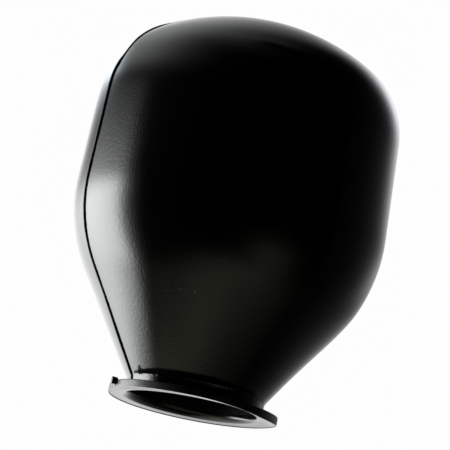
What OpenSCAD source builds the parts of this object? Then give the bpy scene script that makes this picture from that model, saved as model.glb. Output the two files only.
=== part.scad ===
// Squeeze bulb of a hand dust blower: a hollow rubber bulb on a short neck, with a flanged open mouth.
// Millimetres, +Z up. The origin is the centre of the flange's flat underside, and +Z is the bulb's axis.
// The seam of the two half shells lies in the XZ plane, so the walls are squeezed along Y.

/* [Bulb] */
// Widest outside diameter of the bulb
bulb_d = 60; // [58:1:66]
// Height from the flange underside to the crown
bulb_h = 75.5; // [74:0.5:78]
// Thickness of the rubber wall
wall_t = 2; // [1.6:0.1:2.4]
// Angle between the lower cone and the bulb's axis
cone_angle = 33.2; // [31:0.2:35]
// Radius of the belly curve, between the cone and the side wall
belly_r = 29; // [26:0.5:29.5]
// Angle at which the side wall leans in towards the crown
wall_taper = 2.3; // [1:0.1:3.5]
// Height at which the side wall turns into the shoulder
shoulder_z = 57; // [55:0.5:58]
// Radius of the shoulder curve
shoulder_r = 15; // [13:0.5:16]

/* [Mouth] */
// Bore of the mouth
mouth_d = 24.6; // [23:0.1:25]
// Outside diameter of the neck
neck_d = 26.6; // [26.4:0.1:27.4]
// Height at which the cone leaves the neck
neck_h = 3; // [2.4:0.1:3.6]
// Outside diameter of the flange
flange_d = 32.6; // [31:0.2:36]
// Thickness of the flange
flange_t = 1.35; // [1:0.05:1.6]
// Rounding of the flange's rim
rim_round = 0.3; // [0.1:0.05:0.4]
// Rounding of the mouth's lip, which flares out to the flange's flat underside
lip_round = 1.5; // [1.2:0.1:1.9]

/* [Seam] */
// Width of the bonded seam between the half shells
seam_w = 0.5; // [0.4:0.05:0.8]
// Height of the seam bead above the outside of the wall
bead_h = 0.4; // [0.2:0.05:0.5]
// Height of the seam's flash over the flange and its rim
flash_h = 0.2; // [0.1:0.05:0.3]
// How far the moulding tab stands out from the rim, at the seam's -X end
tab_l = 0.75; // [0.4:0.05:1]

/* [Squeeze walls] */
// Radius of the flexing patch on each side
patch_r = 19; // [15:0.5:20]
// Height of the middle of the flexing patches
patch_z = 40; // [38:0.5:42]
// Room round each flexing patch
patch_gap = 0.25; // [0.2:0.05:0.4]

/* [Hidden] */

$fn = 120;
arc_step = 4;
cut_margin = 5;
front = -1;
back = 1;

bulb_r = bulb_d / 2;
neck_r = neck_d / 2;
mouth_r = mouth_d / 2;
flange_r = flange_d / 2;

// Centre of the belly curve, whose lower end carries on as the cone down to the neck
belly_x = bulb_r - belly_r;
belly_z = neck_h + belly_r * sin(cone_angle)
    + (belly_x + belly_r * cos(cone_angle) - neck_r) / tan(cone_angle);

// Centre of the shoulder curve, which starts where the leaning side wall ends
wall_foot_x = belly_x + belly_r * cos(wall_taper);
wall_foot_z = belly_z + belly_r * sin(wall_taper);
wall_top_x = wall_foot_x - (shoulder_z - wall_foot_z) * tan(wall_taper);
shoulder_x = wall_top_x - shoulder_r * cos(wall_taper);
shoulder_centre_z = shoulder_z - shoulder_r * sin(wall_taper);

// Radius of the crown curve, which is centred on the axis and meets the shoulder smoothly
shoulder_drop = bulb_h - shoulder_centre_z;
crown_r = (shoulder_x ^ 2 + shoulder_drop ^ 2 - shoulder_r ^ 2) / (2 * (shoulder_drop - shoulder_r));
crown_z = bulb_h - crown_r;
crown_lean = -atan2(shoulder_centre_z - crown_z, shoulder_x);

// The lip's rounding is centred here, and goes on from the neck collar into the flange when it is wider
lip_x = mouth_r + lip_round;
mouth_wall = neck_r - mouth_r;
lip_step = 15;
lip_end = lip_round > mouth_wall ? 180 + acos((lip_round - mouth_wall) / lip_round) : 270;

// Points of a round stretch of outline. A lean is the angle between the outline and the axis,
// positive where the outline opens outwards and -90 where it is level at the crown.
function arc(x, z, r, lean_a, lean_b) =
    let (n = ceil(abs(lean_b - lean_a) / arc_step))
    [for (i = [0:n]) let (lean = lean_a + (lean_b - lean_a) * i / n) [x + r * cos(lean), z - r * sin(lean)]];

// Height at which the cone, moved outwards by out, has radius r
function cone_z(r, out) =
    belly_z - (belly_r + out) * sin(cone_angle)
    - (belly_x + (belly_r + out) * cos(cone_angle) - r) / tan(cone_angle);

// The bulb's outline from radius r on the cone up to the crown, moved outwards by out
function bulb_outline(r, out) = concat(
    [[r, cone_z(r, out)]],
    arc(belly_x, belly_z, belly_r + out, cone_angle, -wall_taper),
    arc(shoulder_x, shoulder_centre_z, shoulder_r + out, -wall_taper, crown_lean),
    arc(0, crown_z, crown_r + out, crown_lean, -90));

// The lip's rounding between two directions, from 180 at the bore to 270 at the flat underside
function lip_arc(from, to) =
    let (n = ceil((to - from) / lip_step))
    [for (i = [0:n]) let (a = from + (to - from) * i / n)
        [lip_x + lip_round * cos(a), lip_round + lip_round * sin(a)]];

// The rounded upper edge of the flange's rim
function upper_rim() =
    [for (a = [0:15:90])
        [flange_r - rim_round + rim_round * cos(a), flange_t - rim_round + rim_round * sin(a)]];

// The outside of the seam on one side: round the rim, over the flange, up the neck and over the bulb
function seam_outside(reach) = concat(
    [[flange_r + reach, rim_round],
    [flange_r + reach, flange_t + flash_h],
    [neck_r + bead_h, flange_t + flash_h]],
    bulb_outline(neck_r + bead_h, bead_h));

function reversed(points) = [for (i = [len(points) - 1:-1:0]) points[i]];
function mirrored(points) = [for (p = points) [-p[0], p[1]]];

// The whole bulb wall above the neck, before it is divided into half shells and squeeze walls
module bulb_wall() {
    rotate_extrude()
        polygon(concat(bulb_outline(neck_r, 0), reversed(bulb_outline(neck_r, -wall_t))));
}

// Everything on one side of the seam
module side_space(side) {
    translate([-bulb_d, side == front ? -bulb_d - seam_w / 2 : seam_w / 2, -cut_margin])
        cube([2 * bulb_d, bulb_d, bulb_h + 2 * cut_margin]);
}

// A round column along Y through one side of the wall, where the patch slides
module patch_column(side, r) {
    translate([0, side * (bulb_r + cut_margin) / 2, patch_z])
        rotate([90, 0, 0])
            cylinder(h = bulb_r + cut_margin, r = r, center = true);
}

module half_shell(side) {
    difference() {
        intersection() {
            bulb_wall();
            side_space(side);
        }
        patch_column(side, patch_r + patch_gap);
    }
}

module squeeze_wall(side) {
    intersection() {
        bulb_wall();
        patch_column(side, patch_r);
    }
}

module front_half_shell() {
    color([0.08, 0.08, 0.09])
        half_shell(front);
}

module back_half_shell() {
    color([0.06, 0.06, 0.07])
        half_shell(back);
}

module front_squeeze_wall() {
    color([0.11, 0.11, 0.12])
        squeeze_wall(front);
}

module back_squeeze_wall() {
    color([0.1, 0.1, 0.11])
        squeeze_wall(back);
}

// The bonded strip between the half shells. It stands out as a bead, and runs down the neck, over the flange
// and down its rim. At -X the mould left a small tab on the rim.
module parting_seam() {
    plain_side = seam_outside(flash_h);
    tab_side = mirrored(seam_outside(tab_l));
    inside = concat([[flange_r, rim_round]], upper_rim(), [[neck_r, flange_t]], bulb_outline(neck_r, -wall_t));
    color([0.14, 0.14, 0.15])
        rotate([90, 0, 0])
            linear_extrude(height = seam_w, center = true)
                polygon(concat(plain_side, reversed(tab_side), mirrored(inside), reversed(inside)));
}

// The straight bore behind the flared lip, tapered off at its top to follow the inside of the cone
module neck_collar() {
    foot = lip_round < mouth_wall ? [[neck_r, 0]] : [];
    color([0.09, 0.09, 0.1])
        rotate_extrude()
            polygon(concat(lip_arc(180, lip_end), foot, [
                [neck_r, cone_z(neck_r, -wall_t)],
                [mouth_r, cone_z(mouth_r, -wall_t)]]));
}

module mouth_flange() {
    rim_x = flange_r - rim_round;
    lip_rest = lip_round > mouth_wall ? lip_arc(lip_end, 270) : [[neck_r, 0]];
    lower_rim = [for (a = [-90:15:0]) [rim_x + rim_round * cos(a), rim_round + rim_round * sin(a)]];
    color([0.16, 0.16, 0.17])
        rotate_extrude()
            polygon(concat(lip_rest, lower_rim, upper_rim(), [[neck_r, flange_t]]));
}

front_half_shell();
back_half_shell();
front_squeeze_wall();
back_squeeze_wall();
parting_seam();
neck_collar();
mouth_flange();
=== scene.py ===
import math

import bpy
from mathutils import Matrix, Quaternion, Vector, noise


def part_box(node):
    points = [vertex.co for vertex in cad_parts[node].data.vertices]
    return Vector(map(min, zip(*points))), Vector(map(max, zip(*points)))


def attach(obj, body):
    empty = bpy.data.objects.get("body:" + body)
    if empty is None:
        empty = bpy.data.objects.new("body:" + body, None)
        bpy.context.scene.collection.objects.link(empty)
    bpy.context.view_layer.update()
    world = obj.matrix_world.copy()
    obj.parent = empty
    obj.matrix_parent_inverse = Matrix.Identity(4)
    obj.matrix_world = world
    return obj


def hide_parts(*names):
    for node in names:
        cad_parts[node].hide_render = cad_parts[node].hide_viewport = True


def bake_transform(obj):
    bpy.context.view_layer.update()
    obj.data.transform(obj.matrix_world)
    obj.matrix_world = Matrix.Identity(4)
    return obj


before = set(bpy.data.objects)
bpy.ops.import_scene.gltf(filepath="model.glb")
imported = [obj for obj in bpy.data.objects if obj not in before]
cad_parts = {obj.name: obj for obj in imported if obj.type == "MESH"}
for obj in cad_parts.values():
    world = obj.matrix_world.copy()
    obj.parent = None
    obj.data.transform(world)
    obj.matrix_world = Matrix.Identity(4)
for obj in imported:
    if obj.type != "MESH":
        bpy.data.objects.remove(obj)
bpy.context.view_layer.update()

# Everything is in metres, in the CAD model's frame: +Z is the bulb's axis and the seam lies in the XZ plane.
# A way round the axis is in degrees from +X towards +Y.
MM = 0.001

# ---------------------------------------------------------------------------------------------
# Sizes, from the CAD nodes' boxes where a box gives them
# ---------------------------------------------------------------------------------------------
SHELL_LOW, SHELL_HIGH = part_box("front_half_shell")
FLANGE_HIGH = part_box("mouth_flange")[1]
NECK_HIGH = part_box("neck_collar")[1]
SEAM_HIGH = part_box("parting_seam")[1]

BULB_R = SHELL_HIGH.x
BULB_H = SHELL_HIGH.z
FLANGE_R = FLANGE_HIGH.x
FLANGE_T = FLANGE_HIGH.z
NECK_R = NECK_HIGH.x
NECK_H = SHELL_LOW.z
BEAD_HALF_W = SEAM_HIGH.y

WALL_T = 2.0 * MM
CONE_ANGLE = math.radians(33.2)
BELLY_R = 29.0 * MM
WALL_TAPER = math.radians(2.3)
SHOULDER_Z = 57.0 * MM
SHOULDER_R = 15.0 * MM
MOUTH_R = 12.3 * MM
LIP = 1.5 * MM
NECK_FILLET = 1.8 * MM


# ---------------------------------------------------------------------------------------------
# Curves of one value
# ---------------------------------------------------------------------------------------------
def bell(value, middle, width):
    """A bell curve that is 1 at its middle."""
    return math.exp(-0.5 * ((value - middle) / width) ** 2)


def smooth(low, high, value):
    """A soft step from 0 at low to 1 at high."""
    t = min(1.0, max(0.0, (value - low) / (high - low)))
    return t * t * (3 - 2 * t)


def between(anchors, at):
    """A value read off straight lines between (place, value) anchors."""
    for (a, low_value), (b, high_value) in zip(anchors, anchors[1:]):
        if at <= b:
            return low_value + (high_value - low_value) * max(0.0, at - a) / (b - a)
    return anchors[-1][1]


def turn_between(a, b):
    """The angle between two ways round the axis, in degrees."""
    return abs((a - b + 180) % 360 - 180)


def uneven(point, size, seed):
    """Slow, smooth unevenness from -1 to 1, for moulded rubber that is never quite true."""
    return noise.noise(Vector(point) / size + Vector((seed, 2.0 * seed, -seed)))


# ---------------------------------------------------------------------------------------------
# The bulb's outline, as (radius, height) points
# ---------------------------------------------------------------------------------------------
CURVE_STEPS = 60
EASING_ROUNDS = 14
FILLET_STEPS = 12
FILLET_GAP = 0.2 * MM


def arc(centre, radius, start, end, count):
    """Points of a round stretch. An angle is the outline's lean from the axis, -90 degrees at the crown."""
    leans = [start + (end - start) * i / count for i in range(count + 1)]
    return [(centre[0] + radius * math.cos(a), centre[1] - radius * math.sin(a)) for a in leans]


def bulb_curves():
    """Centres and radii of the belly, shoulder and crown curves, as in the CAD model."""
    belly_x = BULB_R - BELLY_R
    cone_top = belly_x + BELLY_R * math.cos(CONE_ANGLE)
    belly_z = NECK_H + BELLY_R * math.sin(CONE_ANGLE) + (cone_top - NECK_R) / math.tan(CONE_ANGLE)
    foot_x = belly_x + BELLY_R * math.cos(WALL_TAPER)
    foot_z = belly_z + BELLY_R * math.sin(WALL_TAPER)
    top_x = foot_x - (SHOULDER_Z - foot_z) * math.tan(WALL_TAPER)
    shoulder_x = top_x - SHOULDER_R * math.cos(WALL_TAPER)
    shoulder_z = SHOULDER_Z - SHOULDER_R * math.sin(WALL_TAPER)
    drop = BULB_H - shoulder_z
    crown_r = (shoulder_x ** 2 + drop ** 2 - SHOULDER_R ** 2) / (2 * (drop - SHOULDER_R))
    crown_z = BULB_H - crown_r
    lean = -math.atan2(shoulder_z - crown_z, shoulder_x)
    return (belly_x, belly_z), (shoulder_x, shoulder_z), (0.0, crown_z), crown_r, lean


def resample(points, step):
    """The same line with evenly spaced points."""
    lengths = [0.0]
    for a, b in zip(points, points[1:]):
        lengths.append(lengths[-1] + math.dist(a, b))
    count = max(2, round(lengths[-1] / step))
    made, k = [], 0
    for i in range(count + 1):
        want = lengths[-1] * i / count
        while k < len(points) - 2 and lengths[k + 1] < want:
            k += 1
        span = lengths[k + 1] - lengths[k]
        t = (want - lengths[k]) / span if span > 0 else 0.0
        made.append(tuple(p + (q - p) * t for p, q in zip(points[k], points[k + 1])))
    return made


def softened(points, rounds, share=0.5):
    """The line with its changes of curvature eased, keeping both ends."""
    for _ in range(rounds):
        inner = [
            tuple(b + share * ((a + c) / 2 - b) for a, b, c in zip(p, q, r))
            for p, q, r in zip(points, points[1:], points[2:])
        ]
        points = [points[0]] + inner + [points[-1]]
    return points


def bulb_outline(out, start_r, step):
    """The outline from radius start_r on the cone up to the crown, moved outwards by out."""
    belly, shoulder, crown, crown_r, lean = bulb_curves()
    cone_end = (belly[0] + (BELLY_R + out) * math.cos(CONE_ANGLE),
                belly[1] - (BELLY_R + out) * math.sin(CONE_ANGLE))
    start = (start_r, cone_end[1] - (cone_end[0] - start_r) / math.tan(CONE_ANGLE))
    points = [start]
    points += arc(belly, BELLY_R + out, CONE_ANGLE, -WALL_TAPER, CURVE_STEPS)
    points += arc(shoulder, SHOULDER_R + out, -WALL_TAPER, lean, CURVE_STEPS)
    points += arc(crown, crown_r + out, lean, -math.pi / 2, CURVE_STEPS)[1:]
    return softened(resample(points, step), EASING_ROUNDS)


def with_neck(points, foot_z):
    """The outline carried down from the cone round a small hollow fillet onto the straight neck."""
    neck_r = points[0][0]
    run = NECK_FILLET * math.tan(CONE_ANGLE / 2)
    centre = (neck_r + NECK_FILLET, points[0][1] - run)
    turn = [CONE_ANGLE * i / FILLET_STEPS for i in range(FILLET_STEPS + 1)]
    fillet = [(centre[0] - NECK_FILLET * math.cos(a), centre[1] + NECK_FILLET * math.sin(a)) for a in turn]
    rise = fillet[0][1] - foot_z
    straight = [(neck_r, foot_z + rise * i / FILLET_STEPS) for i in range(FILLET_STEPS)]
    cone = [p for p in points if p[1] > fillet[-1][1] + FILLET_GAP]
    return straight + fillet + cone


# ---------------------------------------------------------------------------------------------
# Mesh helpers
# ---------------------------------------------------------------------------------------------
SHARP_CORNER = math.radians(38)


def new_piece(name, verts, faces, rounded=True):
    mesh = bpy.data.meshes.new(name)
    mesh.from_pydata(verts, [], faces)
    mesh.validate()
    mesh.update()
    for polygon in mesh.polygons:
        polygon.use_smooth = rounded
    mesh.set_sharp_from_angle(angle=SHARP_CORNER)
    piece = bpy.data.objects.new(name, mesh)
    bpy.context.scene.collection.objects.link(piece)
    return piece


def ring(piece_name, outline, count, shift=None):
    """A closed ring turned round the axis from a closed outline of (radius, height) points."""
    verts = []
    for i in range(count):
        angle = 2 * math.pi * i / count
        for r, z in outline:
            dr, dz = shift(angle, r, z) if shift else (0.0, 0.0)
            verts.append(((r + dr) * math.cos(angle), (r + dr) * math.sin(angle), z + dz))
    n = len(outline)
    faces = []
    for i in range(count):
        for k in range(n):
            a, b = i * n + k, i * n + (k + 1) % n
            c, d = ((i + 1) % count) * n + (k + 1) % n, ((i + 1) % count) * n + k
            faces.append((a, d, c, b))
    return new_piece(piece_name, verts, faces)


# ---------------------------------------------------------------------------------------------
# Materials
# ---------------------------------------------------------------------------------------------
# What every rubber shares. Gloss and shade are factors on its own roughness and colour.
RUBBER_IOR = 1.5
CLOUD_SCALE = 60.0
CLOUD_DETAIL = 4.0
CLOUD_RANGE = (0.3, 0.7)
GLOSS_RANGE = (0.8, 1.25)
SHADE_RANGE = (0.75, 1.3)
SPECK_SCALE = 420.0
SPECK_EDGE = 0.12
SPECK_CORE = 0.04
DUST_COLOUR = (0.1, 0.1, 0.095, 1)
PIT_DETAIL = 3.0
PIT_ROUGHNESS = 0.6
STREAK_SCALE = 1900.0
STREAK_DETAIL = 2.0

# Streaks run up the bulb, and round its axis on the trimmed rim
DRAWN_UP = (1.0, 1.0, 0.2)
DRAWN_ROUND = (0.25, 0.25, 1.0)


def node(tree, kind, inputs=None, **settings):
    """A new shader node with its settings made and its input values filled in."""
    made = tree.nodes.new(kind)
    for name, value in settings.items():
        setattr(made, name, value)
    for name, value in (inputs or {}).items():
        made.inputs[name].default_value = value
    return made


def empty_material(name):
    """A material without nodes, and its node tree."""
    material = bpy.data.materials.new(name)
    material.use_nodes = True
    material.node_tree.nodes.clear()
    return material, material.node_tree


def rubber(name, base, roughness, pit_depth, pit_scale, streak_depth, speck_share, drawn_way=DRAWN_UP):
    """Moulded black rubber: slow clouds of gloss, fine pits and drawn streaks, and a few dust specks."""
    material, tree = empty_material(name)
    link = tree.links.new
    out = node(tree, "ShaderNodeOutputMaterial")
    shader = node(tree, "ShaderNodeBsdfPrincipled", {"IOR": RUBBER_IOR})
    link(shader.outputs["BSDF"], out.inputs["Surface"])
    place = node(tree, "ShaderNodeTexCoord").outputs["Object"]

    clouds = node(tree, "ShaderNodeTexNoise", {"Scale": CLOUD_SCALE, "Detail": CLOUD_DETAIL})
    link(place, clouds.inputs["Vector"])
    rough = node(tree, "ShaderNodeMapRange", {
        "From Min": CLOUD_RANGE[0], "From Max": CLOUD_RANGE[1],
        "To Min": roughness * GLOSS_RANGE[0], "To Max": roughness * GLOSS_RANGE[1],
    })
    link(clouds.outputs["Fac"], rough.inputs["Value"])
    link(rough.outputs["Result"], shader.inputs["Roughness"])

    specks = node(tree, "ShaderNodeTexVoronoi", {"Scale": SPECK_SCALE}, feature="F1")
    link(place, specks.inputs["Vector"])
    chosen = node(tree, "ShaderNodeSeparateColor")
    link(specks.outputs["Color"], chosen.inputs["Color"])
    rare = node(tree, "ShaderNodeMath", {1: 1.0 - speck_share}, operation="GREATER_THAN")
    link(chosen.outputs["Red"], rare.inputs[0])
    near = node(tree, "ShaderNodeMapRange", {"From Min": SPECK_EDGE, "From Max": SPECK_CORE})
    link(specks.outputs["Distance"], near.inputs["Value"])
    dust = node(tree, "ShaderNodeMath", operation="MULTIPLY")
    link(rare.outputs[0], dust.inputs[0])
    link(near.outputs["Result"], dust.inputs[1])

    shades = {socket: (*[c * share for c in base], 1) for socket, share in zip("AB", SHADE_RANGE)}
    shade = node(tree, "ShaderNodeMix", shades, data_type="RGBA")
    link(clouds.outputs["Fac"], shade.inputs["Factor"])
    dusty = node(tree, "ShaderNodeMix", {"B": DUST_COLOUR}, data_type="RGBA")
    link(dust.outputs[0], dusty.inputs["Factor"])
    link(shade.outputs["Result"], dusty.inputs["A"])
    link(dusty.outputs["Result"], shader.inputs["Base Color"])

    pits = node(tree, "ShaderNodeTexNoise",
                {"Scale": pit_scale, "Detail": PIT_DETAIL, "Roughness": PIT_ROUGHNESS})
    link(place, pits.inputs["Vector"])
    drawn = node(tree, "ShaderNodeMapping", {"Scale": drawn_way})
    link(place, drawn.inputs["Vector"])
    streaks = node(tree, "ShaderNodeTexNoise", {"Scale": STREAK_SCALE, "Detail": STREAK_DETAIL})
    link(drawn.outputs["Vector"], streaks.inputs["Vector"])

    fine = node(tree, "ShaderNodeBump", {"Distance": pit_depth, "Strength": 1.0})
    link(pits.outputs["Fac"], fine.inputs["Height"])
    long = node(tree, "ShaderNodeBump", {"Distance": streak_depth, "Strength": 1.0})
    link(streaks.outputs["Fac"], long.inputs["Height"])
    link(fine.outputs["Normal"], long.inputs["Normal"])
    link(long.outputs["Normal"], shader.inputs["Normal"])
    return material


# Colour, roughness, depth and scale of the pits, depth of the streaks, share of places with a speck
BULB_RUBBER = rubber("bulb_rubber", (0.0015, 0.0015, 0.0015), 0.1, 0.02 * MM, 2000.0, 0.012 * MM, 0.07)
SEAM_RUBBER = rubber("seam_rubber", (0.003, 0.003, 0.003), 0.32, 0.008 * MM, 2400.0, 0.002 * MM, 0.004)
NECK_RUBBER = rubber("neck_rubber", (0.003, 0.003, 0.003), 0.26, 0.006 * MM, 1800.0, 0.002 * MM, 0.004)
FLANGE_RUBBER = rubber("flange_rubber", (0.003, 0.003, 0.003), 0.17, 0.006 * MM, 1800.0, 0.002 * MM, 0.01)
RIM_RUBBER = rubber("rim_rubber", (0.004, 0.004, 0.004), 0.4, 0.02 * MM, 1500.0, 0.06 * MM, 0.01, DRAWN_ROUND)


def dress(piece, material):
    piece.data.materials.clear()
    piece.data.materials.append(material)
    return piece


# ---------------------------------------------------------------------------------------------
# How far the moulding stands from a true turned shape
# ---------------------------------------------------------------------------------------------
FRONT = -1
BACK = 1

# Slow and quick waves all over the bulb, which fade out towards the neck
WAVE = 0.05 * MM
WAVE_SINK = 0.6
SLOW_SIZE = 22 * MM
QUICK_SIZE = 8 * MM
QUICK_SHARE = 0.3
WAVE_START = 6 * MM
WAVE_RUN = 10 * MM

# Where it is fuller or flatter: way round the axis and spread in degrees,
# then height, spread and how far it stands out in mm
SWELLS = [
    (-22, 45, 19.5, 5.5, 0.70),
    (158, 40, 20.0, 7.0, -0.30),
    (-22, 60, 33.0, 8.0, 0.15),
]

# Both halves dip where the seam crosses the shoulder at -X, and the back half sits lower than the front
DIP = 0.4 * MM
DIP_Z = 62.5 * MM
DIP_HALF = 2.6 * MM
DIP_SPREAD = 35
SLUMP = 0.65 * MM
SLUMP_Z = 64.0 * MM
SLUMP_HALF = 4.5 * MM

# A crease above the neck: its depth varies about a share of GROOVE_D, and its height wanders
GROOVE_Z = 3.35 * MM
GROOVE_HALF = 0.3 * MM
GROOVE_D = 0.05 * MM
GROOVE_REACH = 5
GROOVE_SHARE = 0.7
GROOVE_BREAKS = 1.3
GROOVE_BREAK_SIZE = 0.035
GROOVE_WANDER = 0.12 * MM
GROOVE_WANDER_SIZE = 0.15
GROOVE_SEAM_GAP = (2.5, 7)


def round_place(angle):
    """A place on the unit circle, for unevenness that runs round the axis."""
    return (math.cos(angle), math.sin(angle), 0.0)


def neck_groove(turn, z):
    """A shallow, broken crease above the neck, which dies out at the seam."""
    if z > GROOVE_Z + GROOVE_REACH * GROOVE_HALF:
        return 0.0
    seam_gap = min(turn_between(turn, 180), turn_between(turn, 0))
    around = round_place(math.radians(turn))
    broken = GROOVE_SHARE + GROOVE_BREAKS * uneven(around, GROOVE_BREAK_SIZE, 6.0)
    level = GROOVE_Z + GROOVE_WANDER * uneven(around, GROOVE_WANDER_SIZE, 11.0)
    return -GROOVE_D * max(0.0, broken) * bell(z, level, GROOVE_HALF) * smooth(*GROOVE_SEAM_GAP, seam_gap)


def bulb_shift(x, y, z, side=0):
    """How far the outer surface of the bulb stands out at a place, or in where it is negative."""
    fade = min(1.0, max(0.0, (z - WAVE_START) / WAVE_RUN))
    slow = uneven((x, y, z), SLOW_SIZE, 1.7)
    quick = QUICK_SHARE * uneven((x, y, z), QUICK_SIZE, 5.1)
    turn = math.degrees(math.atan2(y, x))
    swell = sum(
        out * bell(turn_between(turn, way), 0, spread) * bell(z / MM, height, tall)
        for way, spread, height, tall, out in SWELLS
    )
    near_seam = bell(turn_between(turn, 180), 0, DIP_SPREAD)
    slump = SLUMP * bell(z, SLUMP_Z, SLUMP_HALF) if side == BACK else 0.0
    low = near_seam * (DIP * bell(z, DIP_Z, DIP_HALF) + slump)
    return WAVE * fade * (slow + quick - WAVE_SINK) + swell * MM - low + neck_groove(turn, z)


# The thin flange lifts on one side of the seam and droops on the other: how far its rim moves up
# and how much more its underside does, in mm, then way round the axis and spread in degrees
WARPS = [
    (0.25, 0.0, -170, 25),
    (-0.45, -0.3, -52, 24),
    (-0.15, 0.0, 68, 55),
]

# The rim was trimmed unevenly by up to this much, in mm
RIM_TRIM = 0.05
RIM_TRIM_SIZE = 0.5

# The lip's rounding is tighter on one side of the mouth
LIP_TIGHT = 0.78
LIP_TIGHT_WAY = -22
LIP_TIGHT_SPREAD = 30


def flange_warp(angle, r, z):
    """How far a point of the flange moves outwards and up."""
    turn = math.degrees(angle)
    share = smooth(NECK_R, FLANGE_R, r)
    low = 1 - z / FLANGE_T
    up = sum(
        (rim + more_below * low) * bell(turn_between(turn, way), 0, spread)
        for rim, more_below, way, spread in WARPS
    )
    trim = RIM_TRIM * (0.5 + 0.5 * uneven(round_place(angle), RIM_TRIM_SIZE, 2.0))
    lip_dr, lip_dz = lip_shift(turn, r, z)
    return (lip_dr - trim * share * MM, lip_dz + up * share * MM)


def lip_shift(turn, r, z):
    """How far a point of the lip moves towards the lip's corner, where the rounding is tighter."""
    if r > MOUTH_R + LIP or z > LIP:
        return (0.0, 0.0)
    shrink = LIP_TIGHT * bell(turn_between(turn, LIP_TIGHT_WAY), 0, LIP_TIGHT_SPREAD)
    return (-shrink * (r - MOUTH_R), -shrink * z)


# ---------------------------------------------------------------------------------------------
# The bulb's two half shells
# ---------------------------------------------------------------------------------------------
SKIN_STEP = 0.45 * MM
INNER_STEP = 2 * SKIN_STEP
SKIN_TURNS = 160
SKIN_FOOT = 0.3 * MM
INNER_INSET = 0.4 * MM
INNER_DROP = 0.6 * MM
POLE_R = 0.02 * MM


def edge_faces(first, outer_count, inner_count, flip):
    """The thin edge between the outer and the inner outline, hidden under the seam bead."""
    last = first + outer_count + inner_count - 1
    faces = []
    for k in range(outer_count - 1):
        j0 = last - round(k / (outer_count - 1) * (inner_count - 1))
        j1 = last - round((k + 1) / (outer_count - 1) * (inner_count - 1))
        corners = [first + k, first + k + 1, j1] + ([j0] if j0 != j1 else [])
        faces.append(tuple(corners[::-1] if flip else corners))
    return faces


def half_skin(name, side):
    """One half shell as a closed thin-walled skin, from inside the flange up to the crown."""
    foot_z = FLANGE_T - SKIN_FOOT
    outer = with_neck(bulb_outline(0.0, NECK_R, SKIN_STEP), foot_z)
    inner = bulb_outline(-WALL_T, NECK_R, INNER_STEP)
    inset_r = NECK_R - INNER_INSET
    inner = [(inset_r, foot_z), (inset_r, inner[0][1] - INNER_DROP)] + inner
    outline = outer + inner[::-1]
    outline[len(outer) - 1] = (POLE_R, outer[-1][1])
    outline[len(outer)] = (POLE_R, inner[-1][1])
    n = len(outline)
    verts, faces = [], []
    for i in range(SKIN_TURNS + 1):
        angle = math.pi * i / SKIN_TURNS
        cx, cy = math.cos(angle), side * math.sin(angle)
        for k, (r, z) in enumerate(outline):
            x, y = r * cx, r * cy
            move = bulb_shift(x, y, z, side) if k < len(outer) else 0.0
            verts.append((x + move * cx, y + move * cy, z))
    for i in range(SKIN_TURNS):
        for k in range(n):
            a, b = i * n + k, i * n + (k + 1) % n
            c, d = (i + 1) * n + (k + 1) % n, (i + 1) * n + k
            faces.append((a, b, c, d) if side == FRONT else (a, d, c, b))
    for i in (0, SKIN_TURNS):
        flip = (side == FRONT) == (i == 0)
        faces += edge_faces(i * n, len(outer), len(inner), flip)
    return new_piece(name, verts, faces)


front_skin = dress(half_skin("front_bulb_skin", FRONT), BULB_RUBBER)
back_skin = dress(half_skin("back_bulb_skin", BACK), BULB_RUBBER)


for skin, body, side in ((front_skin, "front_wall", FRONT), (back_skin, "back_wall", BACK)):
    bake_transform(skin)
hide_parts("front_half_shell", "front_squeeze_wall")
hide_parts("back_half_shell", "back_squeeze_wall")


# ---------------------------------------------------------------------------------------------
# The seam bead, swept along the outline on both sides and over the crown
# ---------------------------------------------------------------------------------------------
# Its line over the rim and the flange, as distances from the rim's side, foot, top and inner end
RIM_STEP = 0.12 * MM
RIM_SINK = 0.05 * MM
RIM_FOOT = 0.12 * MM
RIM_CORNER_DOWN = 0.1 * MM
RIM_CORNER_IN = 0.2 * MM
NECK_CORNER_OUT = 0.3 * MM
NECK_CORNER_UP = 0.25 * MM
BEAD_STEP = 0.4 * MM

# Its section, as (across, up) from -1 to 1, which gets round over the shoulder
SQUARE_SECTION = [
    (-1.0, 0.0), (-0.96, 0.45), (-0.8, 0.85), (-0.35, 1.0),
    (0.35, 1.0), (0.8, 0.85), (0.96, 0.45), (1.0, 0.0),
]
ROUND_START = 58 * MM
ROUND_END = 63 * MM

# It was trimmed by hand: (height up the bulb, height of the bead) in mm
BEAD_TRIM = [(0, 0.4), (61, 0.4), (62.5, 0.28), (65, 0.25), (66.5, 0.3), (69.5, 0.31), (71, 0.12), (80, 0.12)]
TRIM_LEVEL = 0.86
TRIM_WAVE = 0.14
TRIM_WAVE_SIZE = 4 * MM
TRIM_NICK = 0.05
TRIM_NICK_SIZE = 1.5 * MM
TRIM_ALL = 0.98
SWAY = 0.03 * MM
SWAY_SIZE = 9 * MM

# On the flange it is only a low flash, which starts a little way out from the neck
RIM_FLASH_H = 0.12 * MM
FLASH_START = 0.1 * MM
FLASH_FULL = 0.5 * MM
FLASH_TOP_FULL = 1.5 * MM
FLASH_TOP_END = 2 * MM

# How deep its foot goes into the bulb, and into the flange and the neck
BULB_FOOT_Z = 5 * MM
BEAD_ROOT = 0.9 * MM
LOW_ROOT = 0.3 * MM
WARP_TOP_Z = 2 * MM

# The tab on the rim
TAB_REACH = 0.9 * MM
TAB_LOW = 0.4 * MM
TAB_HIGH = 1.75 * MM
TAB_HALF_W = 0.27 * MM
TAB_ROOT = 0.25 * MM
TAB_SOFT = 0.07 * MM
TAB_LEAN = 0.04 * MM
TAB_FALL = 0.05 * MM


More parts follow.
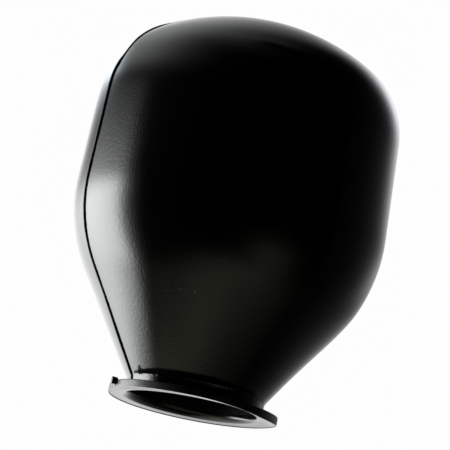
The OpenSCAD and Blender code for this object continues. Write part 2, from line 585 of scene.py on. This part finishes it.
def side_path():
    """The seam's line up one side: rim, flange top, neck, then the bulb's outline to the crown."""
    rim_r = FLANGE_R - RIM_SINK
    flange = [
        (rim_r, RIM_FOOT), (rim_r, FLANGE_T - RIM_CORNER_DOWN),
        (FLANGE_R - RIM_CORNER_IN, FLANGE_T), (NECK_R + NECK_CORNER_OUT, FLANGE_T),
    ]
    body = with_neck(bulb_outline(0.0, NECK_R, BEAD_STEP), FLANGE_T + NECK_CORNER_UP)
    return resample(flange, RIM_STEP) + body


def bead_size(x, z):
    """How square the bead's section is, from 0 for round, and its height at a point of the seam."""
    out = smooth(NECK_R + FLASH_START, NECK_R + FLASH_FULL, abs(x))
    on_flange = out * (1 - smooth(FLASH_TOP_FULL, FLASH_TOP_END, z))
    height = between(BEAD_TRIM, z / MM) * MM
    height += on_flange * (RIM_FLASH_H - height)
    return 1 - smooth(ROUND_START, ROUND_END, z), height


def bead_trim(x, z):
    """The share of its height that the blade left on the bead at a point of the seam."""
    wave = TRIM_WAVE * uneven((x, 0, z), TRIM_WAVE_SIZE, 9.0)
    nick = TRIM_NICK * abs(uneven((x, 0, z), TRIM_NICK_SIZE, 3.0))
    return TRIM_LEVEL + wave - nick


def seam_bead():
    side_line = side_path()
    line = [(-r, z) for r, z in side_line] + [(r, z) for r, z in side_line[::-1][1:]]
    n = len(SQUARE_SECTION)
    around = [math.pi * (1 - k / (n - 1)) for k in range(n)]
    round_section = [(math.cos(a), max(0.0, math.sin(a))) for a in around]
    verts, faces = [], []
    for i, (x, z) in enumerate(line):
        before, after = line[max(0, i - 1)], line[min(len(line) - 1, i + 1)]
        along = Vector((after[0] - before[0], 0, after[1] - before[1])).normalized()
        outward = Vector((-along.z, 0, along.x))
        squareness, height = bead_size(x, z)
        trim = bead_trim(x, z)
        sway = SWAY * uneven((x, 0, z), SWAY_SIZE, 4.0)
        on_bulb = z > BULB_FOOT_Z
        base = bulb_shift(x, 0.0, z) if on_bulb else 0.0
        root = BEAD_ROOT if on_bulb else LOW_ROOT
        dr, dz = flange_warp(math.atan2(0.0, x), abs(x), z) if z < WARP_TOP_Z else (0.0, 0.0)
        place = Vector((x + math.copysign(dr, x), 0, z + dz))
        for (across, up), (round_across, round_up) in zip(SQUARE_SECTION, round_section):
            across = round_across + (across - round_across) * squareness
            rise = height * trim * TRIM_ALL * (round_up + (up - round_up) * squareness) if up > 0 else -root
            verts.append(place + Vector((0, across * BEAD_HALF_W + sway, 0)) + outward * (base + rise))
    for i in range(len(line) - 1):
        for k in range(n):
            a, b = i * n + k, i * n + (k + 1) % n
            faces.append((a, a + n, b + n, b))
    last = (len(line) - 1) * n
    faces.append(tuple(range(n)))
    faces.append(tuple(last + k for k in range(n))[::-1])
    add_rim_tab(verts, faces)
    return new_piece("seam_bead", verts, faces)


def add_rim_tab(verts, faces):
    """The small block that the mould left on the rim, at the seam's -X end."""
    lift = flange_warp(math.pi, FLANGE_R, FLANGE_T / 2)[1]
    inner, outer = -(FLANGE_R - TAB_ROOT), -(FLANGE_R + TAB_REACH)
    outline = [
        (inner, TAB_LOW), (outer + TAB_SOFT, TAB_LOW), (outer, TAB_LOW + TAB_SOFT),
        (outer + TAB_LEAN, TAB_HIGH - TAB_SOFT), (outer + TAB_SOFT, TAB_HIGH), (inner, TAB_HIGH - TAB_FALL),
    ]
    first, n = len(verts), len(outline)
    for across in (-TAB_HALF_W, TAB_HALF_W):
        verts += [Vector((x, across, z + lift)) for x, z in outline]
    faces.append(tuple(first + k for k in range(n)))
    faces.append(tuple(first + n + k for k in range(n))[::-1])
    for k in range(n):
        a, b = first + k, first + (k + 1) % n
        faces.append((a, a + n, b + n, b))


bead = dress(seam_bead(), SEAM_RUBBER)
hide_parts("parting_seam")
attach(bead, "bulb")


# ---------------------------------------------------------------------------------------------
# The flange and the bore behind the mouth
# ---------------------------------------------------------------------------------------------
RING_TURNS = 360
LIP_STEPS = 16
FLAT_STEPS = 12
RIM_STEPS = 5
TOP_STEPS = 8
FOOT_STEPS = 6
BORE_STEPS = 10
RIM = 0.1 * MM
TOP_RIM = 0.25 * MM
FOOT_FILLET = 0.12 * MM

# The burr under the rim: where the flat ends, then (inwards, down), all in heights of the burr
BURR = 0.1 * MM
BURR_FLAT_END = 1.8
BURR_OUTLINE = [(1.6, 0), (1.1, 1), (0.5, 1)]

# Where the two rings end inside the neck's wall, and where the cone's inside begins
FLANGE_INSET = 0.3 * MM
LINING_INSET = 0.2 * MM
LIP_OVERLAP = 0.3 * MM
LIP_GAP = 0.02 * MM
CONE_POINTS = 4

# The rim's side, which was trimmed with a blade
SIDE_SLOPE = 0.95
SIDE_DEPTH = 3 * RIM
SIDE_SLOT = 1


def circle_part(centre, radius, start, sweep, count):
    """Points of a circle from start degrees through a sweep."""
    angles = [math.radians(start + sweep * i / count) for i in range(count + 1)]
    return [(centre[0] + radius * math.cos(a), centre[1] + radius * math.sin(a)) for a in angles]


def flange_ring():
    """The flange with its rounded mouth, trimmed rim and small hollow fillet onto the neck."""
    lip = circle_part((MOUTH_R + LIP, LIP), LIP, 180, 90, LIP_STEPS)
    flat_end = FLANGE_R - BURR_FLAT_END * BURR
    flat_run = flat_end - MOUTH_R - LIP
    flat = [(MOUTH_R + LIP + flat_run * i / FLAT_STEPS, 0.0) for i in range(1, FLAT_STEPS)]
    burr = [(FLANGE_R - inwards * BURR, -down * BURR) for inwards, down in BURR_OUTLINE] + [(FLANGE_R, RIM)]
    upper = circle_part((FLANGE_R - TOP_RIM, FLANGE_T - TOP_RIM), TOP_RIM, 0, 90, RIM_STEPS)
    top_run = FLANGE_R - TOP_RIM - NECK_R - FOOT_FILLET
    top = [(FLANGE_R - TOP_RIM - top_run * i / TOP_STEPS, FLANGE_T) for i in range(1, TOP_STEPS)]
    centre = (NECK_R + FOOT_FILLET, FLANGE_T + FOOT_FILLET)
    fillet = circle_part(centre, FOOT_FILLET, 270, -90, FOOT_STEPS)
    inside = [
        (NECK_R - FLANGE_INSET, FLANGE_T + FOOT_FILLET),
        (NECK_R - FLANGE_INSET, LIP + LIP_OVERLAP),
        (MOUTH_R + LIP_GAP, LIP + LIP_OVERLAP),
    ]
    return ring("flange_ring", lip + flat + burr + upper + top + fillet + inside, RING_TURNS, flange_warp)


def neck_lining():
    """The straight bore behind the lip, up to the inside of the cone."""
    cone = bulb_outline(-WALL_T, MOUTH_R, INNER_STEP)
    foot_z = LIP + LIP_GAP
    rise = cone[0][1] - foot_z
    bore = [(MOUTH_R, foot_z + rise * i / BORE_STEPS) for i in range(BORE_STEPS)]
    cone = [p for p in cone[:CONE_POINTS] if p[0] < NECK_R]
    outside = [(NECK_R - LINING_INSET, cone[-1][1] + LIP_OVERLAP), (NECK_R - LINING_INSET, foot_z)]
    return ring("neck_lining", (bore + cone + outside)[::-1], RING_TURNS)


def trim_rim(piece):
    """The rim's side was trimmed with a blade, so it is duller than the moulded faces."""
    piece.data.materials.append(RIM_RUBBER)
    for face in piece.data.polygons:
        out = math.hypot(face.center.x, face.center.y)
        if abs(face.normal.z) < SIDE_SLOPE and out > FLANGE_R - SIDE_DEPTH:
            face.material_index = SIDE_SLOT


flange = dress(flange_ring(), FLANGE_RUBBER)
trim_rim(flange)
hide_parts("mouth_flange")
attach(flange, "bulb")
lining = dress(neck_lining(), NECK_RUBBER)
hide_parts("neck_collar")
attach(lining, "bulb")


# ---------------------------------------------------------------------------------------------
# Camera
# ---------------------------------------------------------------------------------------------
CAMERA_TURN = math.radians(-22.2)
CAMERA_RISE = math.radians(-10.14)
CAMERA_ROLL = math.radians(11.1)
CAMERA_DISTANCE = 0.8946
CAMERA_LENS = 375.8
CAMERA_SENSOR = 36.0
CAMERA_NEAR = 0.01
CAMERA_FAR = 100.0
AIM_HEIGHT = 0.03015
AIM_UP = 0.005415
AIM_LEFT = 0.000596


def place_camera():
    data = bpy.data.cameras.new("camera")
    data.lens = CAMERA_LENS
    data.sensor_width = CAMERA_SENSOR
    data.clip_start = CAMERA_NEAR
    data.clip_end = CAMERA_FAR
    camera = bpy.data.objects.new("camera", data)
    bpy.context.scene.collection.objects.link(camera)
    flat = math.cos(CAMERA_RISE)
    back = Vector((math.sin(CAMERA_TURN) * flat, -math.cos(CAMERA_TURN) * flat, math.sin(CAMERA_RISE)))
    level = (-back).to_track_quat("-Z", "Y")
    target = Vector((0, 0, AIM_HEIGHT))
    camera.location = target + back * CAMERA_DISTANCE
    aim = target + level @ Vector((-AIM_LEFT, AIM_UP, 0))
    look = (aim - camera.location).to_track_quat("-Z", "Y")
    camera.rotation_mode = "QUATERNION"
    camera.rotation_quaternion = look @ Quaternion((0, 0, 1), CAMERA_ROLL)
    bpy.context.scene.camera = camera


place_camera()


# ---------------------------------------------------------------------------------------------
# Floor, white surroundings and the soft light tent
# ---------------------------------------------------------------------------------------------
FLOOR_Z = -0.16
FLOOR_HALF = 30.0
FLOOR_COLOUR = (0.9, 0.9, 0.9, 1)
FLOOR_ROUGHNESS = 0.8
WORLD_COLOUR = (1, 1, 1, 1)
WORLD_STRENGTH = 0.985
TENT_R = 0.17
TENT_Z = 0.035
TENT_COLUMNS = 240
TENT_ROWS = 120

NEUTRAL = (1.0, 1.0, 1.0)
COOL = (0.87, 1.0, 1.1)
FAINT_COOL = (0.98, 1.0, 1.005)
LILAC = (1.0, 0.98, 1.05)
WARM = (1.02, 1.03, 0.78)

# Soft lights as seen from the bulb, in degrees. Turn is 0 towards the camera, 90 to its left,
# 180 behind the bulb and 270 to its right. Rise is measured up from level.
# Panels: brightness, tint, turn from and to, rise from and to, each with the softness of that edge,
# and a lean, by which the first edge moves on for each degree above LEAN_RISE.
PANELS = [
    (11.5, FAINT_COOL, (82.5, 3.2), (123, 11.5), (-36.5, 4), (10, 2.6), 0.0),
    (2.1, NEUTRAL, (143, 5.5), (175, 21), (-80, 4), (38, 8), 0.27),
    (1.0, NEUTRAL, (231, 3.5), (222, 7), (-80, 4), (3.5, 3.5), -1.5),
    (0.5, FAINT_COOL, (168, 5), (198, 6), (-34, 4), (-10, 4), 0.0),
]
LEAN_RISE = -10
# Glows: brightness, tint, turn, spread, rise, spread. A negative brightness is a shade.
GLOWS = [
    (1.1, FAINT_COOL, 125, 32, 50, 14.5),
    (0.22, NEUTRAL, 96, 54, 79, 10.5),
    (2.7, COOL, 140, 11, 26, 4),
    (1.6, LILAC, 211, 11, 30, 9),
    (0.14, NEUTRAL, 220, 43, 88, 7),
    (0.27, WARM, 19, 25, -56.5, 4.5),
    (0.25, WARM, -12, 32, -46.5, 7.5),
    (0.17, WARM, -35, 13, -28, 8),
    (1.2, WARM, 84, 24, -65, 9.5),
    (-0.9, NEUTRAL, 182, 14, -58, 15),
]
# Turns run on from here, so that no light is cut where a turn of 180 meets one of -180
FIRST_TURN = -75
EASE_END = 40.0


def ease(value):
    """A soft step from 0 to 1, with 0.5 at zero."""
    return 1 / (1 + math.exp(-max(-EASE_END, min(EASE_END, value))))


def tent_light(turn, rise):
    """Colour and brightness of the tent in one direction."""
    seen = turn + 360 if turn < FIRST_TURN else turn
    total = Vector((0, 0, 0))
    for level, tint, turn_from, turn_to, rise_from, rise_to, lean in PANELS:
        (left, left_soft), (right, right_soft) = turn_from, turn_to
        (low, low_soft), (high, high_soft) = rise_from, rise_to
        past_left = seen - left - lean * (rise - LEAN_RISE)
        across = ease(past_left / left_soft) * ease((right - seen) / right_soft)
        up = ease((rise - low) / low_soft) * ease((high - rise) / high_soft)
        total += Vector(tint) * level * across * up
    for level, tint, middle, spread, height, tall in GLOWS:
        total += Vector(tint) * level * bell(seen, middle, spread) * bell(rise, height, tall)
    return Vector(max(0.0, c) for c in total)


def light_tent():
    """A ball of soft light round the bulb, which the camera itself doesn't see."""
    heading = math.degrees(CAMERA_TURN) - 90
    verts, faces, lights = [], [], []
    for j in range(TENT_ROWS + 1):
        rise = -90 + 180 * j / TENT_ROWS
        level, up = math.cos(math.radians(rise)), math.sin(math.radians(rise))
        for i in range(TENT_COLUMNS):
            turn = -180 + 360 * i / TENT_COLUMNS
            angle = math.radians(heading - turn)
            way = Vector((math.cos(angle) * level, math.sin(angle) * level, up))
            verts.append(way * TENT_R + Vector((0, 0, TENT_Z)))
            lights += [*tent_light(turn, rise), 1.0]
    for j in range(TENT_ROWS):
        for i in range(TENT_COLUMNS):
            a, b = j * TENT_COLUMNS + i, j * TENT_COLUMNS + (i + 1) % TENT_COLUMNS
            faces.append((a, b, b + TENT_COLUMNS, a + TENT_COLUMNS))
    mesh = bpy.data.meshes.new("light_tent")
    mesh.from_pydata(verts, [], faces)
    glow = mesh.attributes.new("glow", "FLOAT_COLOR", "POINT")
    glow.data.foreach_set("color", lights)
    tent = bpy.data.objects.new("light_tent", mesh)
    bpy.context.scene.collection.objects.link(tent)
    material, tree = empty_material("tent_light")
    out = node(tree, "ShaderNodeOutputMaterial")
    lamp = node(tree, "ShaderNodeEmission")
    stored = node(tree, "ShaderNodeAttribute", attribute_name="glow")
    tree.links.new(stored.outputs["Color"], lamp.inputs["Color"])
    tree.links.new(lamp.outputs["Emission"], out.inputs["Surface"])
    mesh.materials.append(material)
    tent.visible_camera = False
    tent.visible_shadow = False


def pale_floor():
    corners = [(x * FLOOR_HALF, y * FLOOR_HALF, FLOOR_Z) for x, y in ((-1, -1), (1, -1), (1, 1), (-1, 1))]
    floor = new_piece("floor", corners, [(0, 1, 2, 3)], rounded=False)
    material = bpy.data.materials.new("pale_floor")
    material.use_nodes = True
    shader = material.node_tree.nodes["Principled BSDF"]
    shader.inputs["Base Color"].default_value = FLOOR_COLOUR
    shader.inputs["Roughness"].default_value = FLOOR_ROUGHNESS
    floor.data.materials.append(material)


def white_surroundings():
    world = bpy.data.worlds.new("white")
    world.use_nodes = True
    background = world.node_tree.nodes["Background"]
    background.inputs["Color"].default_value = WORLD_COLOUR
    background.inputs["Strength"].default_value = WORLD_STRENGTH
    bpy.context.scene.world = world
    bpy.context.scene.view_settings.view_transform = "Standard"


light_tent()
pale_floor()
white_surroundings()
